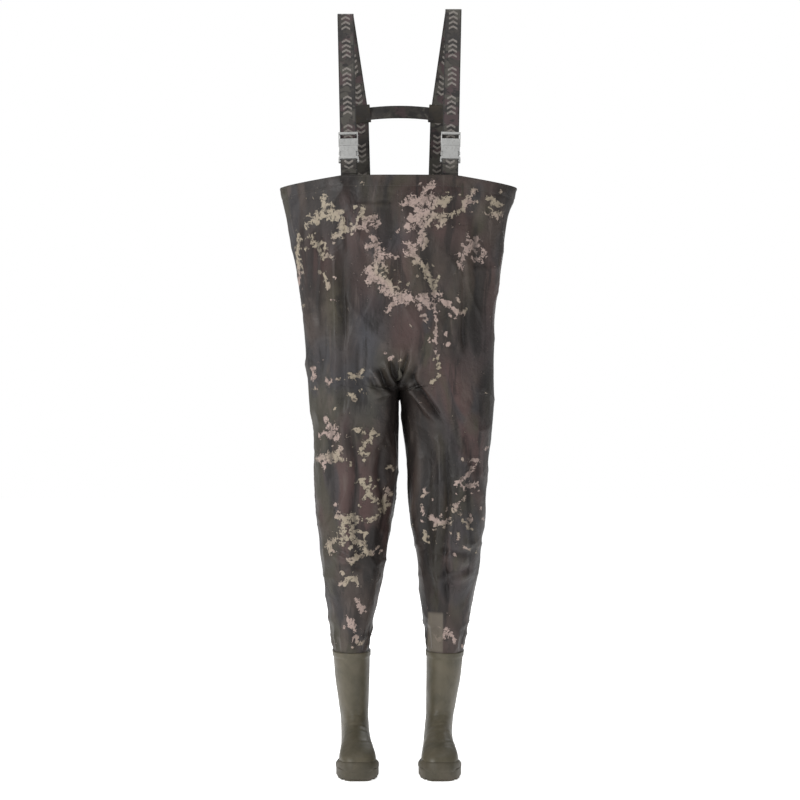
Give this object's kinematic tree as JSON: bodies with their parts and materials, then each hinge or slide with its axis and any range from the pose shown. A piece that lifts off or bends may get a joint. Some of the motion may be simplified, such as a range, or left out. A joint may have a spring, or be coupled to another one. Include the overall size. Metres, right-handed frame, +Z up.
{
  "type": "chest waders",
  "caption": "Coated-fabric chest waders with a bib, two welded legs, moulded boots and webbing braces with side-release buckles.",
  "frame": {"origin": "middle of the line that the two shoulder-strap folds hang over", "axes": "+Z up, the wearer faces -Y, +X to the wearer's left"},
  "size_m": [0.5474, 0.3438, 1.7829],
  "materials": {
    "camo_fabric": "satin",
    "seam_tape": "satin",
    "webbing": "matte",
    "buckle_plastic": "satin",
    "boot_upper": "satin",
    "boot_sole": "matte",
    "insole": "matte"
  },
  "bodies": {
    "bib": {"back_anchor_patch_left": "camo_fabric", "back_anchor_patch_right": "camo_fabric", "bib_back_left": "camo_fabric", "bib_back_right": "camo_fabric", "bib_front_left": "camo_fabric", "bib_front_right": "camo_fabric", "bib_hem_back": "seam_tape", "bib_hem_front": "seam_tape", "buckle_receiver_left": "buckle_plastic", "buckle_receiver_right": "buckle_plastic", "cross_strap": "webbing", "cross_strap_sleeve_left": "webbing", "cross_strap_sleeve_right": "webbing", "crotch_gusset": "camo_fabric", "front_anchor_patch_left": "camo_fabric", "front_anchor_patch_right": "camo_fabric", "front_tab_left": "webbing", "front_tab_right": "webbing", "hip_fold_left": "camo_fabric", "hip_fold_right": "camo_fabric", "inner_pocket": "camo_fabric", "seam_tape_centre_back": "seam_tape", "seam_tape_centre_front": "seam_tape", "seam_tape_side_left": "seam_tape", "seam_tape_side_right": "seam_tape", "shoulder_strap_left": "webbing", "shoulder_strap_right": "webbing"},
    "thigh_left": {"thigh_front_left": "camo_fabric", "thigh_back_left": "camo_fabric", "thigh_seam_tapes_left": "seam_tape", "knee_fold_left": "camo_fabric"},
    "shin_left": {"shin_front_left": "camo_fabric", "shin_back_left": "camo_fabric", "shin_seam_tapes_left": "seam_tape", "cuff_fold_left": "camo_fabric"},
    "boot_left": {"boot_upper_left": "boot_upper", "outsole_left": "boot_sole", "heel_block_left": "boot_sole", "insole_left": "insole", "boot_collar_left": "boot_upper"},
    "clip_left": {"clip_body_left": "buckle_plastic"},
    "prong_inner_left": {"clip_prong_inner_left": "buckle_plastic"},
    "prong_outer_left": {"clip_prong_outer_left": "buckle_plastic"},
    "thigh_right": {"thigh_front_right": "camo_fabric", "thigh_back_right": "camo_fabric", "thigh_seam_tapes_right": "seam_tape", "knee_fold_right": "camo_fabric"},
    "shin_right": {"shin_front_right": "camo_fabric", "shin_back_right": "camo_fabric", "shin_seam_tapes_right": "seam_tape", "cuff_fold_right": "camo_fabric"},
    "boot_right": {"boot_upper_right": "boot_upper", "outsole_right": "boot_sole", "heel_block_right": "boot_sole", "insole_right": "insole", "boot_collar_right": "boot_upper"},
    "clip_right": {"clip_body_right": "buckle_plastic"},
    "prong_inner_right": {"clip_prong_inner_right": "buckle_plastic"},
    "prong_outer_right": {"clip_prong_outer_right": "buckle_plastic"}
  },
  "joints": [
    {"name": "hip_left", "type": "hinge", "parent": "bib", "child": "thigh_left", "pos_m": [0.112, -0.0455, -0.9425], "axis": [-1, 0, 0], "range_deg": [-20, 50], "deforming": ["hip_fold_left"]},
    {"name": "knee_left", "type": "hinge", "parent": "thigh_left", "child": "shin_left", "pos_m": [0.112, -0.0489, -1.2765], "axis": [1, 0, 0], "range_deg": [0, 60], "deforming": ["knee_fold_left"]},
    {"name": "ankle_left", "type": "hinge", "parent": "shin_left", "child": "boot_left", "pos_m": [0.11, -0.0499, -1.4865], "axis": [-1, 0, 0], "range_deg": [-15, 15], "deforming": ["cuff_fold_left"]},
    {"name": "clip_slide_left", "type": "slide", "parent": "bib", "child": "clip_left", "axis": [0.0269, 0.2558, 0.9663], "range_m": [0, 0.04], "deforming": ["clip_prong_inner_left", "clip_prong_outer_left"]},
    {"name": "prong_outer_left", "type": "hinge", "parent": "clip_left", "child": "prong_outer_left", "pos_m": [0.12991, -0.09492, -0.3262], "axis": [0, 0.9667, -0.2559], "range_deg": [0, 7], "stiffness_Nm_per_rad": 0.4},
    {"name": "prong_inner_left", "type": "hinge", "parent": "clip_left", "child": "prong_inner_left", "pos_m": [0.10591, -0.09475, -0.32558], "axis": [0, -0.9667, 0.2559], "range_deg": [0, 7], "stiffness_Nm_per_rad": 0.4},
    {"name": "hip_right", "type": "hinge", "parent": "bib", "child": "thigh_right", "pos_m": [-0.112, -0.0455, -0.9425], "axis": [-1, 0, 0], "range_deg": [-20, 50], "deforming": ["hip_fold_right"]},
    {"name": "knee_right", "type": "hinge", "parent": "thigh_right", "child": "shin_right", "pos_m": [-0.112, -0.0489, -1.2765], "axis": [1, 0, 0], "range_deg": [0, 60], "deforming": ["knee_fold_right"]},
    {"name": "ankle_right", "type": "hinge", "parent": "shin_right", "child": "boot_right", "pos_m": [-0.11, -0.0499, -1.4865], "axis": [-1, 0, 0], "range_deg": [-15, 15], "deforming": ["cuff_fold_right"]},
    {"name": "clip_slide_right", "type": "slide", "parent": "bib", "child": "clip_right", "axis": [-0.0276, 0.2627, 0.9645], "range_m": [0, 0.04], "deforming": ["clip_prong_inner_right", "clip_prong_outer_right"]},
    {"name": "prong_outer_right", "type": "hinge", "parent": "clip_right", "child": "prong_outer_right", "pos_m": [-0.12996, -0.09444, -0.32634], "axis": [0, -0.9649, 0.2628], "range_deg": [0, 7], "stiffness_Nm_per_rad": 0.4},
    {"name": "prong_inner_right", "type": "hinge", "parent": "clip_right", "child": "prong_inner_right", "pos_m": [-0.10597, -0.09426, -0.3257], "axis": [0, 0.9649, -0.2628], "range_deg": [0, 7], "stiffness_Nm_per_rad": 0.4}
  ],
  "couplings": [
    {"joint": "prong_inner_left", "follows": "prong_outer_left", "ratio": 1},
    {"joint": "prong_inner_right", "follows": "prong_outer_right", "ratio": 1}
  ]
}
